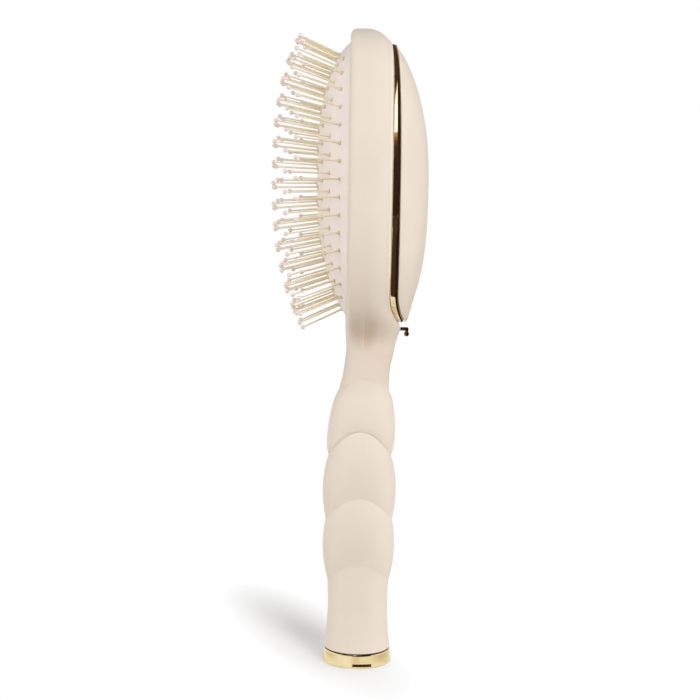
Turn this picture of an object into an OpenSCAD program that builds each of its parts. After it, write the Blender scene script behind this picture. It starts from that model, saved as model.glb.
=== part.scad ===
// Oval cushion brush that stands on a metal foot ring.
// The grip axis is Z. The pins point to -X, the back cover faces +X, the width runs along Y.
// The origin is the centre of the foot ring's flat bottom.

/* [Overall] */
// Height of the brush standing on its foot
total_h = 240; // [225:1:260]
// Wall thickness of the grip at its stem
wall = 2.3; // [2:0.1:2.6]

/* [Head] */
// Length of the opening that the cushion fills
opening_l = 101.6; // [94:0.2:110]
// Width of the opening that the cushion fills
opening_w = 57; // [52:0.5:62]
// Width of the head's rim above and below the opening
rim_l = 5.2; // [4.8:0.1:6]
// Width of the head's rim beside the opening
rim_w = 6; // [5.6:0.1:7]
// Depth of the head from the parting plane to its front face
front_depth = 6.2; // [5.8:0.1:7]
// Depth of the head from the parting plane to the seat of the trim band
back_depth = 10.1; // [9.8:0.1:11.4]
// Rounding of the front edge of the head
front_round = 2.9; // [2:0.1:3.4]
// Chamfered rounding of the back edge of the head
back_round = 6; // [5.6:0.1:6.6]
// Thickness of the rim that holds the cushion
rim_t = 2.4; // [2:0.1:2.8]

/* [Cushion] */
// Height of the cushion's crown over the rim
cushion_rise = 11.4; // [9:0.1:13]
// Thickness of the rubber skin
rubber_t = 1.5; // [1.2:0.1:1.8]
// Width of the flange that is held behind the rim
flange_w = 1.3; // [1:0.1:1.5]
// Thickness of the flange
flange_t = 1.2; // [0.9:0.1:1.4]
// Thickness of the frame that clamps the flange
frame_t = 1.3; // [1:0.1:1.5]
// Thickness of the plate that closes the air chamber
plate_t = 1.6; // [1.2:0.1:2]

/* [Pins] */
// Length of a pin in front of the rubber, with its ball
pin_l = 17.4; // [15:0.1:21]
// Diameter of a pin's shaft
pin_d = 0.9; // [0.7:0.05:1.2]
// Diameter of a pin's ball tip
ball_d = 1.9; // [1.5:0.1:2.3]
// Distance of the field of pins from the opening's ends
field_edge_l = 3.6; // [3.5:0.1:7]
// Distance of the field of pins from the opening's sides
field_edge_w = 4.1; // [3.6:0.1:6]
// Width of the backing strip under a row of pins
strip_w = 2; // [1.6:0.1:2.2]
// Thickness of the backing strip under a row of pins
strip_t = 0.7; // [0.5:0.1:0.9]

/* [Back cover] */
// Distance of the back cover from the head's ends
cover_edge_l = 4.5; // [4:0.1:6]
// Distance of the back cover from the head's sides
cover_edge_w = 5.5; // [5:0.1:7]
// Height of the cover's crown over the trim band
cover_rise = 11.2; // [8:0.1:12]
// Thickness of the cover
cover_t = 1.8; // [1.4:0.1:2.2]
// Depth of the trim band along X
band_h = 3; // [2.6:0.1:3.4]
// Width of the trim band across its section
band_w = 2.2; // [1.8:0.1:2.6]

/* [Grip] */
// Largest diameter of the grip
grip_d = 28; // [26:0.2:30]
// Bore of the hollow neck
neck_bore_d = 11; // [9:0.2:11.4]
// Distance of the neck's bore from the grip axis, towards the back
neck_shift = 3; // [2.5:0.1:3.4]
// Diameter of the dowels that locate the two shells
dowel_d = 3; // [2.4:0.1:3.4]
// Length of such a dowel
dowel_l = 10; // [8:0.5:11]

/* [Foot] */
// Height of the foot ring
ring_h = 5.7; // [5:0.1:7]
// Diameter of the foot ring's bottom
ring_d = 26.6; // [25.4:0.1:27]
// Diameter of the foot ring's top
ring_top_d = 24.8; // [24.4:0.1:25.2]
// Width of the flat bottom of the foot ring, with its rounded edge
ring_foot_w = 2.3; // [2:0.1:2.6]
// Depth of the end plug's spigot in the grip
spigot_l = 10; // [7:0.5:11]
// Thickness of the end plug's flange
plug_flange_t = 2; // [1.6:0.1:2.4]
// Thickness of the foot pad
pad_t = 1.2; // [1:0.1:1.4]

/* [Hook] */
// Diameter of the hook's wire
wire_d = 1.4; // [1.2:0.1:1.6]
// Distance that the hook stands out of the neck
hook_out = 3.6; // [3:0.1:4.5]
// Drop from the hook's bar to the centre of its ball end
hook_drop = 2; // [1.8:0.1:3]
// Diameter of the hook's ball end
hook_ball_d = 1.8; // [1.7:0.1:2.2]

/* [Screws] */
// Thread diameter of the shell screws
screw_d = 2.6; // [2.2:0.1:3]
// Length of the shell screws under the head
screw_l = 8; // [7:0.5:8.5]
// Diameter of a screw head
screw_head_d = 4.8; // [4.4:0.1:5.2]
// Height of a screw head
screw_head_t = 1.5; // [1.2:0.1:1.6]

/* [Hidden] */

// Clearances
fit_gap = 0.1;
screw_slack = 0.05;
soft_gap = 0.3;
cut_over = 1;

// Colours
shell_colour = "antiquewhite";
gold_colour = "goldenrod";
rubber_colour = "mistyrose";
pin_colour = "tan";
inner_colour = "gainsboro";
steel_colour = "silver";
pad_colour = "dimgray";

// Outline of the head, the same kind for the opening and the cover
outline_power_share = 2.4;
outline_steps = 72;
head_l = opening_l + 2 * rim_l;
head_w = opening_w + 2 * rim_w;
head_z = total_h - head_l / 2;
pocket_wall = 1.2;
pocket_over = rim_l - pocket_wall;
front_inner_x = -front_depth + rim_t;
frame_x = front_inner_x + flange_t + 2 * soft_gap;
plate_x = frame_x + frame_t;
plate_back_x = plate_x + plate_t;
// Depth and inset shares of the rounded edges, from the parting plane outwards
front_edge_shares = [[0, 0], [0.45, 0], [0.7, 0.1], [0.86, 0.35], [0.96, 0.66], [1, 1]];
back_edge_shares = [[0, 0], [0.12, 0], [0.4, 0.12], [0.6, 0.33], [0.78, 0.62], [1, 1]];

// Staked pegs of the front shell, through the frame and the plate
peg_d = 1.5;
peg_count = 10;
peg_gap = 0.35;
peg_over = flange_w + soft_gap + peg_gap + peg_d / 2;

// Hollow of the back shell, its back wall and the plate's screw posts
back_wall = 2.2;
seat_sink = 0.4;
inner_step_x = 6.2;
inner_step_over = 1.5;
inner_end_over = -1.5;
boss_d = 6.4;
boss_y_share = 0.193;
boss_z_share = 0.2756;
boss_y = boss_y_share * opening_w;
boss_z = boss_z_share * opening_l;
vent_d = 3;
screw_socket_d = 2.2;

// Cushion form
cushion_steps = 48;
cushion_ring_shares = [0.15, 0.32, 0.48, 0.63, 0.76, 0.87, 0.95, 1];
crown_power_share = 1;
lower_crown_share = 0.4;
crown_fall_share = 0.2;

// Field of pins: rows run along the head, odd rows are staggered, and each row has its own shift
field_l = opening_l - 2 * field_edge_l;
field_w = opening_w - 2 * field_edge_w;
side_rows = 4;
long_row = 15;
short_row = 14;
row_short = 4;
row_shifts = [-1.1, 0.9, -0.1, -0.6, 0.6];
spread_share = 0.045;
field_end_share = 1.04;
fan_w_share = 1.68;
fan_l_share = 1.17;
fan_w = fan_w_share * field_w;
fan_l = fan_l_share * field_l;
square_share = 0.9;
// Ball depth, ball width and size shares of the rings of a pin, from its shaft to its tip
pin_ring_shares = [[0.95, 0, 1], [0.5, 1, 1], [0.05, 1, 0.4]];

// Cover, band and their seat
cover_drop = 1.1;
cover_z = head_z - cover_drop;
cover_l = head_l - 2 * cover_edge_l;
cover_w = head_w - 2 * cover_edge_w;
band_top_share = 0.5;
band_tip_share = 0.84;
tip_rise = 3.4;
tip_reach = 12;
top_drop = 0.5;
cover_ring_shares = [0.15, 0.32, 0.48, 0.62, 0.75, 0.86, 0.94, 1];
// Shares of the dome's two powers: in the middle, then added at the lower and at the upper end
dome_power_shares = [2.4, 0.2, -0.13];
dome_fall_shares = [0.85, -0.25, 0.15];
clip_d = 3.4;
clip_l = 3;
clip_y_share = 0.276;
clip_z_share = 0.369;
clip_y = clip_y_share * cover_w;
clip_z = clip_z_share * cover_l;
clip_mid_share = 1.25;

// Grip profile: height shares of the grip, and radius shares, of the seams between its three swells
grip_h = total_h - head_l;
grip_r = grip_d / 2;
seam_z_shares = [0.2477, 0.4337, 0.6296, 0.8171];
seam_r_shares = [0.836, 0.906, 0.844, 0.681];
seam_arch_shares = [0.58, 0.70, 0.71, 0.38];
bulge_r_shares = [0.107, 0.121, 0.139];
bulge_power_shares = [1, 1, 0.6];
swell_steps = 6;
arc_steps = 18;
neck_front_seam_share = 1.346;
neck_back_seam_share = 0.766;
// Height, radius and arch shares of the plain stem
stem_shares = [[0.0938, 0.848, 0.1], [0.15, 0.819, 0.25], [0.2063, 0.822, 0.45]];
// Height share of the grip, front share of the head's front depth, then back, side and arch
// shares of the grip radius
neck_shares = [
    [0.8588, 1.210, 0.757, 0.70, 0.27],
    [0.8981, 1.097, 0.800, 0.73, 0.17],
    [0.9375, 1.000, 0.879, 0.79, 0.09],
    [0.9769, 0.985, 0.929, 0.91, 0],
    [1.0078, 0.969, 0.954, 1.07, 0],
    [1.0463, 0.951, 0.929, 1.27, 0],
    [1.0931, 0.935, 0.729, 1.40, 0]
];

// Bores of the grip and neck, and the dowels across them
bore_d_share = 0.8214;
grip_bore_d = bore_d_share * grip_d - 2 * wall;
bore_step_share = 0.75;
bore_end_share = 0.806;
bore_step_z = bore_step_share * grip_h;
neck_bore_z = bore_end_share * grip_h;
neck_bore_top = head_z - opening_l / 2 + pocket_over;
// Height shares of the dowels between the end plug's spigot and the head
dowel_z_shares = [0.074, 0.384, 0.651];
spigot_top = ring_h + spigot_l;
dowel_boss_d = 6.4;

// Hook
hook_z_share = 1.005;
hook_back_share = 0.954;
hook_z = hook_z_share * grip_h;
neck_back_x = hook_back_share * grip_r;
hook_head_d = 3;
hook_head_t = 1.2;
hook_head_x = neck_shift + neck_bore_d / 2 - hook_head_t - soft_gap;

// Foot
ring_edge = 1;
ring_bore_d = grip_bore_d;
ring_recess_d = ring_d - 2 * ring_foot_w;
plug_z = pad_t;

function sign_power(v, p) = sign(v) * pow(abs(v), p);
function outline_yz(t, half_l, half_w) =
    let (p = 2 / outline_power_share)
    [half_w * sign_power(sin(t), p), half_l * sign_power(cos(t), p)];
function outline_points(half_l, half_w) =
    [for (i = [0:outline_steps - 1]) outline_yz(360 * i / outline_steps, half_l, half_w)];

// Faces of n closed rings of m points each, seen from outside
function ring_faces(n, m) =
    [for (i = [0:n - 2], j = [0:m - 1], k = [0:1])
        let (a = i * m + j, b = i * m + (j + 1) % m)
        k == 0 ? [a, b, b + m] : [a, b + m, a + m]];
// Flat or ruled cap over a ring of m points: triangles that run straight across it
function cap_faces(m, first) =
    [for (j = [0:m / 2 - 1], k = [0:1])
        if (k == 0 ? j < m / 2 - 1 : j > 0)
            k == 0 ? [first + j, first + j + 1, first + m - j - 1]
                : [first + j, first + m - j - 1, first + m - j]];
function fan_faces(m, first) = [for (j = [1:m - 2]) [first, first + j, first + j + 1]];
function flipped(faces) = [for (f = faces) [for (i = [len(f) - 1:-1:0]) f[i]]];

// Half of the head: a stack of outlines from the parting plane to one face, with flat ends
module head_half(depth, inset, shares, side) {
    m = outline_steps;
    n = len(shares);
    points = [for (s = shares, p = outline_points(head_l / 2 - inset * s[1], head_w / 2 - inset * s[1]))
        [side * depth * s[0], p[0], head_z + p[1]]];
    faces = concat(ring_faces(n, m), flipped(cap_faces(m, 0)), cap_faces(m, (n - 1) * m));
    polyhedron(points, side > 0 ? faces : flipped(faces));
}

// Half of the grip and neck: half rings whose height rises towards the flanks
module grip_half(side) {
    m = arc_steps + 1;
    n = len(grip_rings);
    points = [for (r = grip_rings, j = [0:arc_steps])
        let (t = 180 * j / arc_steps - 90)
        [side * (side > 0 ? r[2] : r[1]) * cos(t), r[3] * sin(t), r[0] + r[4] * pow(sin(t), 2)]];
    walls = [for (i = [0:n - 2], j = [0:m - 2], k = [0:1])
        let (a = i * m + j)
        k == 0 ? [a, a + m + 1, a + 1] : [a, a + m, a + m + 1]];
    cuts = [for (i = [0:n - 2], k = [0:1])
        let (a = i * m, b = i * m + m - 1)
        k == 0 ? [a, b, b + m] : [a, b + m, a + m]];
    faces = concat(walls, cuts, fan_faces(m, 0), flipped(fan_faces(m, (n - 1) * m)));
    polyhedron(points, side > 0 ? faces : flipped(faces));
}

// Height, front, back and side radius and arch of every ring of the grip and neck
function lerp(a, b, u) = a + (b - a) * u;
function swell_ring(i, u) =
    let (last = i == 2,
        bulge = bulge_r_shares[i] * pow(4 * u * (1 - u), bulge_power_shares[i]),
        front = last ? neck_front_seam_share * front_depth : seam_r_shares[i + 1] * grip_r,
        back = last ? neck_back_seam_share : seam_r_shares[i + 1])
    [grip_h * lerp(seam_z_shares[i], seam_z_shares[i + 1], u),
        lerp(grip_r * seam_r_shares[i], front, u) + grip_r * bulge,
        grip_r * (lerp(seam_r_shares[i], back, u) + bulge),
        grip_r * (lerp(seam_r_shares[i], seam_r_shares[i + 1], u) + bulge),
        grip_r * lerp(seam_arch_shares[i], seam_arch_shares[i + 1], u)];
grip_rings = concat(
    [[ring_h, ring_top_d / 2, ring_top_d / 2, ring_top_d / 2, 0]],
    [for (s = stem_shares)
        [grip_h * s[0], grip_r * s[1], grip_r * s[1], grip_r * s[1], grip_r * s[2]]],
    [for (i = [0:2], k = [0:swell_steps - 1]) swell_ring(i, k / swell_steps)],
    [swell_ring(2, 1)],
    [for (s = neck_shares)
        [grip_h * s[0], front_depth * s[1], grip_r * s[2], grip_r * s[3], grip_r * s[4]]]);

// Flat-ended prism along X with the head's kind of outline
module outline_prism(x0, x1, half_l, half_w, z = head_z)
    translate([x0, 0, z])
        rotate([90, 0, 90])
            linear_extrude(x1 - x0)
                polygon(outline_points(half_l, half_w));

module opening_prism(x0, x1, over)
    outline_prism(x0, x1, opening_l / 2 + over, opening_w / 2 + over);

module x_cylinder(x0, x1, d, y, z)
    translate([x0, y, z])
        rotate([0, 90, 0])
            cylinder(h = x1 - x0, d = d, $fn = 32);

module at_pegs()
    for (i = [0:peg_count - 1])
        let (t = 360 * (i + 1 / 2) / peg_count,
            p = outline_yz(t, opening_l / 2 + peg_over, opening_w / 2 + peg_over))
            translate([0, p[0], head_z + p[1]])
                children();

module at_bosses()
    for (y = [-boss_y, boss_y], z = [-boss_z, boss_z])
        translate([0, y, head_z + z])
            children();

module at_clips()
    for (y = [-clip_y, clip_y], z = [-clip_z, 0, clip_z])
        translate([0, y * (z == 0 ? clip_mid_share : 1), cover_z + z])
            children();

module along_x(x0, x1, d)
    x_cylinder(x0, x1, d, 0, 0);

module grip_cavity() {
    cylinder(h = bore_step_z, d = grip_bore_d, $fn = 96);
    translate([0, 0, bore_step_z])
        cylinder(h = neck_bore_z - bore_step_z, d1 = grip_bore_d, d2 = neck_bore_d, $fn = 96);
    translate([neck_shift, 0, bore_step_z])
        cylinder(h = neck_bore_top - bore_step_z, d = neck_bore_d, $fn = 96);
}

// Front half of the head, neck and grip, with the rim and the staked pegs
module front_shell() color(shell_colour) {
    difference() {
        union() {
            head_half(front_depth, front_round, front_edge_shares, -1);
            grip_half(-1);
        }
        opening_prism(-front_depth - cut_over, 0, 0);
        opening_prism(front_inner_x, cut_over, pocket_over);
        grip_cavity();
    }
    at_pegs()
        along_x(front_inner_x - rim_t / 2, plate_back_x, peg_d);
    dowel_bosses(-1);
}

module at_dowels()
    for (s = dowel_z_shares)
        translate([0, 0, lerp(spigot_top, grip_h, s)])
            children();

module dowel_bosses(side)
    at_dowels()
        mirror([side < 0 ? 1 : 0, 0, 0])
            difference() {
                along_x(fit_gap, (grip_bore_d + wall) / 2, dowel_boss_d);
                along_x(-cut_over, dowel_l / 2 + fit_gap, dowel_d + fit_gap);
            }

// Path of the band's seat: its X follows the height only
function tip_share(z) = pow(max(0, 1 - (z - cover_z + cover_l / 2) / tip_reach), 2);
function up_share(z) = max(0, (z - cover_z) / (cover_l / 2));
function top_share(z) = pow(up_share(z), 6);
function seat_x(z) = back_depth + tip_rise * tip_share(z) - top_drop * top_share(z);
function band_x(z) =
    let (top = (1 - band_top_share) * pow(up_share(z), 2), tip = (1 - band_tip_share) * tip_share(z))
    seat_x(z) + band_h * (1 - top - tip);

// Room for the band and cover, with the seat as its floor
module cover_room(over) {
    m = outline_steps;
    ring = outline_points(cover_l / 2 + over, cover_w / 2 + over);
    floor_points = [for (p = ring) [seat_x(cover_z + p[1]), p[0], cover_z + p[1]]];
    roof_points = [for (p = ring) [back_depth + cover_l / 2, p[0], cover_z + p[1]]];
    polyhedron(concat(floor_points, roof_points),
        concat(ring_faces(2, m), flipped(cap_faces(m, 0)), cap_faces(m, m)));
}

// Back half of the head, neck and grip, with the seat of the cover
module back_shell() color(shell_colour) {
    difference() {
        union() {
            head_half(back_depth + seat_sink, back_round, back_edge_shares, 1);
            grip_half(1);
        }
        cover_room(fit_gap);
        opening_prism(-cut_over, plate_back_x + fit_gap, pocket_over);
        opening_prism(0, inner_step_x, inner_step_over);
        opening_prism(0, back_depth - back_wall, inner_end_over);
        grip_cavity();
        at_bosses()
            along_x(0, back_depth + cut_over, screw_d + 2 * fit_gap);
        at_clips()
            along_x(0, back_depth + cut_over, clip_d + 2 * fit_gap);
        x_cylinder(neck_shift, neck_back_x + cut_over, wire_d + fit_gap, 0, hook_z);
    }
    dowel_bosses(1);
}

// How far a place lies from the centre of an outline, and how much it points up or down
function outline_share(y, z, half_l, half_w) =
    pow(pow(abs(y) / half_w, outline_power_share) + pow(abs(z) / half_l, outline_power_share),
        1 / outline_power_share);
function end_share(z, half_l, s) =
    s == 0 ? 0 : sign_power(z / half_l / s, outline_power_share / 2);

// X of the cover at a place, measured from the centre of the cover
function cover_x(y, z, half_l, half_w, rise) =
    let (s = outline_share(y, z, half_l, half_w),
        end = end_share(z, half_l, s),
        mix = [1, max(0, -end), max(0, end)],
        p = dome_power_shares * mix,
        q = dome_fall_shares * mix)
    lerp(back_depth + band_h, band_x(cover_z + z), pow(s, 4))
        + rise * pow(max(0, 1 - pow(s, p)), q);
function cover_point(s, t, half_l, half_w, rise) =
    let (p = s * outline_yz(t, half_l, half_w))
    [cover_x(p[0], p[1], half_l, half_w, rise), p[0], cover_z + p[1]];
function cover_rings(shares, over) =
    [for (s = shares)
        [for (i = [0:outline_steps - 1])
            let (t = 360 * i / outline_steps)
            cover_point(s, t, cover_l / 2 - over, cover_w / 2 - over, cover_rise - over)]];

// X of the cushion's outer or inner face at a place, measured from the centre of the head
function cushion_x(y, z, over) =
    let (half_l = opening_l / 2 - soft_gap - over,
        s = outline_share(y, z, half_l, opening_w / 2 - soft_gap - over),
        c = end_share(z, half_l, s),
        up = pow(max(0, c), 2),
        down = pow(max(0, -c), 2),
        p = 2 + crown_power_share * (up + down * lower_crown_share),
        q = 1 - crown_fall_share * (up + down / 2))
    -front_depth - (cushion_rise - over) * pow(max(0, 1 - pow(s, p)), q);
function cushion_ring(s, over) =
    [for (i = [0:cushion_steps - 1])
        let (t = 360 * i / cushion_steps,
            p = s * outline_yz(t, opening_l / 2 - soft_gap - over, opening_w / 2 - soft_gap - over))
        [cushion_x(p[0], p[1], over), p[0], head_z + p[1]]];
function flange_ring(x, over) =
    [for (i = [0:cushion_steps - 1])
        let (p = outline_yz(360 * i / cushion_steps, opening_l / 2 + over, opening_w / 2 + over))
        [x, p[0], head_z + p[1]]];

// Closed skin through a list of rings, with a pole before the first and after the last
module ringed_skin(rings, first_pole, last_pole, side) {
    m = len(rings[0]);
    n = len(rings);
    points = [for (r = rings, p = r) p];
    first = n * m;
    caps = [for (j = [0:m - 1], k = [0:1])
        let (next = (j + 1) % m)
        k == 0 ? [first, next, j] : [first + 1, (n - 1) * m + j, (n - 1) * m + next]];
    faces = concat(ring_faces(n, m), caps);
    polyhedron(concat(points, [first_pole, last_pole]), side > 0 ? flipped(faces) : faces);
}

// Domed cover over the back of the head, a thin shell with six locating posts
module back_cover() color(shell_colour) {
    rings = concat(cover_rings(cover_ring_shares, 0),
        cover_rings([for (i = [len(cover_ring_shares) - 1:-1:0]) cover_ring_shares[i]], cover_t));
    ringed_skin(rings,
        [cover_x(0, 0, cover_l / 2, cover_w / 2, cover_rise), 0, cover_z],
        [cover_x(0, 0, cover_l / 2, cover_w / 2, cover_rise - cover_t), 0, cover_z], 1);
    for (y = [-1, 1], z = [-1, 0, 1]) {
        post_y = clip_y * (z == 0 ? clip_mid_share : 1);
        post_z = clip_z * z;
        top = cover_x(post_y, post_z, cover_l / 2, cover_w / 2, cover_rise) - cover_t / 2;
        x_cylinder(back_depth - clip_l, top, clip_d, y * post_y, cover_z + post_z);
    }
}

// Gold band between the head and the cover: its floor and roof follow the seat
module trim_band() color(gold_colour) {
    m = outline_steps;
    outer = outline_points(cover_l / 2, cover_w / 2);
    inner = outline_points(cover_l / 2 - band_w, cover_w / 2 - band_w);
    points = [for (k = [0:3], p = k == 0 || k == 3 ? outer : inner)
        [k < 2 ? seat_x(cover_z + p[1]) : band_x(cover_z + p[1]), p[0], cover_z + p[1]]];
    closing = [for (j = [0:m - 1], k = [0:1])
        let (a = 3 * m + j, b = 3 * m + (j + 1) % m, c = j, d = (j + 1) % m)
        k == 0 ? [a, b, d] : [a, d, c]];
    polyhedron(points, flipped(concat(ring_faces(4, m), closing)));
}

// Rubber dome with its neck in the opening and its flange behind the rim
module cushion() color(rubber_colour) {
    flange_x = front_inner_x + soft_gap;
    crown = -front_depth - cushion_rise;
    rings = concat(
        [for (s = cushion_ring_shares) cushion_ring(s, 0)],
        [flange_ring(flange_x, -soft_gap), flange_ring(flange_x, flange_w),
            flange_ring(flange_x + flange_t, flange_w),
            flange_ring(flange_x + flange_t, -soft_gap - rubber_t)],
        [for (i = [len(cushion_ring_shares) - 1:-1:0]) cushion_ring(cushion_ring_shares[i], rubber_t)]);
    ringed_skin(rings, [crown, 0, head_z], [crown + rubber_t, 0, head_z], -1);
}

// Frame that clamps the cushion's flange
module cushion_frame() color(inner_colour)
    difference() {
        opening_prism(frame_x, plate_x, pocket_over - fit_gap);
        opening_prism(frame_x - cut_over, plate_x + cut_over, 0);
        at_pegs()
            along_x(frame_x - cut_over, plate_x + cut_over, peg_d + 2 * fit_gap);
    }

// Plate that closes the air chamber, with a vent and four screw posts
module pad_plate() color(inner_colour)
    difference() {
        union() {
            opening_prism(plate_x, plate_back_x, pocket_over - fit_gap);
            at_bosses()
                along_x(plate_x, back_depth - back_wall - fit_gap, boss_d);
        }
        at_pegs()
            along_x(plate_x - cut_over, plate_back_x + cut_over, peg_d + 2 * fit_gap);
        at_bosses()
            along_x(plate_back_x, back_depth, screw_d);
        x_cylinder(plate_x - cut_over, plate_back_x + cut_over, vent_d, 0, head_z);
    }

// Screws that pull the back shell onto the plate
module shell_screws() color(steel_colour)
    at_bosses() {
        along_x(back_depth - screw_l, back_depth, screw_d - 2 * screw_slack);
        difference() {
            along_x(back_depth, back_depth + screw_head_t, screw_head_d);
            along_x(back_depth + screw_head_t / 2, back_depth + screw_head_t + cut_over, screw_socket_d);
        }
    }

// Steel dowels across the parting plane of the grip
module shell_dowels() color(steel_colour)
    at_dowels()
        along_x(-dowel_l / 2, dowel_l / 2, dowel_d);

// Wire hook with a head inside the neck, a bar, a leg and a ball end
module hook() color(gold_colour)
    translate([0, 0, hook_z]) {
        bar_end = neck_back_x + hook_out;
        along_x(hook_head_x, bar_end, wire_d);
        along_x(hook_head_x, hook_head_x + hook_head_t, hook_head_d);
        translate([bar_end, 0, 0]) {
            sphere(d = wire_d, $fn = 32);
            translate([0, 0, -hook_drop])
                cylinder(h = hook_drop, d = wire_d, $fn = 32);
            translate([0, 0, -hook_drop])
                sphere(d = hook_ball_d, $fn = 32);
        }
    }

// Polished ring that the brush stands on
module foot_ring() color(gold_colour)
    rotate_extrude($fn = 96)
        polygon(concat(
            [[ring_recess_d / 2, 0]],
            [for (i = [0:4])
                let (t = 90 * i / 4)
                [ring_d / 2 - ring_edge + ring_edge * sin(t), ring_edge - ring_edge * cos(t)]],
            [[ring_top_d / 2, ring_h], [ring_bore_d / 2, ring_h],
                [ring_bore_d / 2, plug_z + plug_flange_t], [ring_recess_d / 2, plug_z + plug_flange_t]]));

// Plug that holds the ring to the grip
module end_plug() color(inner_colour) {
    translate([0, 0, plug_z])
        cylinder(h = plug_flange_t, d = ring_recess_d - 2 * fit_gap, $fn = 96);
    translate([0, 0, plug_z])
        cylinder(h = spigot_top - plug_z, d = grip_bore_d - 2 * fit_gap, $fn = 96);
}

// Soft disc in the recess of the ring
module foot_pad() color(pad_colour)
    cylinder(h = pad_t, d = ring_recess_d - 2 * fit_gap, $fn = 96);

// Places of the pins in a row, measured from the centre of the head
function row_reach(k) = field_l / 2 - row_short * pow(k / side_rows, 2);
function row_count(k) = k % 2 == 0 ? long_row : short_row;
function pin_place(k, j) =
    let (u = (j - (row_count(k) - 1) / 2) / ((long_row - 1) / 2),
        spread = spread_share * pow(k / side_rows, 2) * (1 - pow(abs(u), 6)),
        z = row_shifts[abs(k)] + row_reach(k) * u * (1 + spread),
        edge = pow(1 - pow(abs(z) / (field_l / 2 * field_end_share), outline_power_share),
            1 / outline_power_share))
    [k / side_rows * field_w / 2 * edge, z];
function pin_root(k, j) =
    let (p = pin_place(k, j))
    [cushion_x(p[0], p[1], 0), p[0], head_z + p[1]];
function unit(v) = v / norm(v);
function pin_way(k, j) =
    let (p = pin_place(k, j))
    unit([-1, tan(asin(p[0] / fan_w)), tan(asin(p[1] / fan_l))]);

// Row of pins on a strip of backing: each pin is a square tube that grows out of the strip
module pin_row(k) color(pin_colour) {
    n = row_count(k);
    side = pin_d / 2 * square_share;
    sections = [for (j = [0:n - 1], e = [-1, 1])
        let (way = pin_way(k, j),
            along = unit(pin_root(k, min(j + 1, n - 1)) - pin_root(k, max(j - 1, 0))),
            across = unit(cross(way, along)),
            top = pin_root(k, j) - way * (rubber_t + fit_gap) + along * e * side,
            low = top - way * strip_t)
        [low - across * strip_w / 2, low + across * strip_w / 2, top + across * strip_w / 2,
            top + across * side, top - across * side, top - across * strip_w / 2]];
    pins = [for (j = [0:n - 1], r = pin_ring_shares)
        let (way = pin_way(k, j),
            along = unit(pin_root(k, min(j + 1, n - 1)) - pin_root(k, max(j - 1, 0))),
            across = unit(cross(way, along)),
            centre = pin_root(k, j) + way * (pin_l - ball_d * r[0]),
            reach = lerp(pin_d, ball_d, r[1]) / 2 * square_share * r[2])
        [centre + (across - along) * reach, centre - (across + along) * reach,
            centre + (along - across) * reach, centre + (along + across) * reach]];
    points = concat([for (s = sections, p = s) p], [for (r = pins, p = r) p]);
    first_pin = 12 * n;
    per_pin = 4 * len(pin_ring_shares);
    walls = [for (i = [0:2 * n - 2], e = [0:5], h = [0:1])
        let (a = 6 * i + e, b = 6 * i + (e + 1) % 6)
        if (i % 2 == 1 || e != 3) h == 0 ? [a, b, b + 6] : [a, b + 6, a + 6]];
    tubes = [for (j = [0:n - 1])
        let (foot = 12 * j, base = [foot + 3, foot + 4, foot + 10, foot + 9],
            rings = concat([base], [for (r = [0:len(pin_ring_shares) - 1])
                [for (q = [0:3]) first_pin + per_pin * j + 4 * r + q]]),
            last = rings[len(rings) - 1])
        each concat([for (r = [0:len(rings) - 2], q = [0:3], h = [0:1])
            let (next = (q + 1) % 4, a = rings[r][q], b = rings[r][next],
                c = rings[r + 1][next], d = rings[r + 1][q])
            h == 0 ? [a, b, c] : [a, c, d]],
            [[last[0], last[1], last[2]], [last[0], last[2], last[3]]])];
    ends = concat(flipped(fan_faces(6, 0)), fan_faces(6, 6 * (2 * n - 1)));
    polyhedron(points, flipped(concat(walls, tubes, ends)));
}

front_shell();
back_shell();
back_cover();
trim_band();
cushion();
cushion_frame();
pad_plate();
pin_row(-4);  // pin_row_1
pin_row(-3);  // pin_row_2
pin_row(-2);  // pin_row_3
pin_row(-1);  // pin_row_4
pin_row(0);  // pin_row_5
pin_row(1);  // pin_row_6
pin_row(2);  // pin_row_7
pin_row(3);  // pin_row_8
pin_row(4);  // pin_row_9
shell_screws();
shell_dowels();
hook();
foot_ring();
end_plug();
foot_pad();
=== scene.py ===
import math

import bpy
import numpy as np
from mathutils import Matrix, Vector


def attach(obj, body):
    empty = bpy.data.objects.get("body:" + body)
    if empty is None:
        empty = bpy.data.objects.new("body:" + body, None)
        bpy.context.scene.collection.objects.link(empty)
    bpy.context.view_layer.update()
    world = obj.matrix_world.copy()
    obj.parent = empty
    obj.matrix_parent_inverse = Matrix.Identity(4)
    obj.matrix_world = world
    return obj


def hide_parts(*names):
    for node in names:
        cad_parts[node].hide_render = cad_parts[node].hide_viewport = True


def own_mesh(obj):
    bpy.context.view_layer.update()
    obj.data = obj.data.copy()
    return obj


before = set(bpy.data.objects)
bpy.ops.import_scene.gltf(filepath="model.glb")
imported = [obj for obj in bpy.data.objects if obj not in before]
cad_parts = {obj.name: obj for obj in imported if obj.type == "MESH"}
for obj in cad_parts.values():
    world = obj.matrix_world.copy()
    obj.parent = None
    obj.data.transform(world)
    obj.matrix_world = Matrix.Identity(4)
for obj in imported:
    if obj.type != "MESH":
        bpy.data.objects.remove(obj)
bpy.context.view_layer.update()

MM = 0.001

# ---- sizes in millimetres; those of the CAD are the same as the part's own ----
TOTAL_H = 240.0
HEAD_L, HEAD_W = 112.0, 69.0
HEAD_Z = TOTAL_H - HEAD_L / 2
FRONT_DEPTH, BACK_DEPTH = 6.2, 9.95
# Rounding of the front and back edge of the head, and how far below the seat its chamfer starts
FRONT_ROUND, CHAMFER_ROUND = 3.0, 2.4
CHAMFER_EDGE = 4.9
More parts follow.
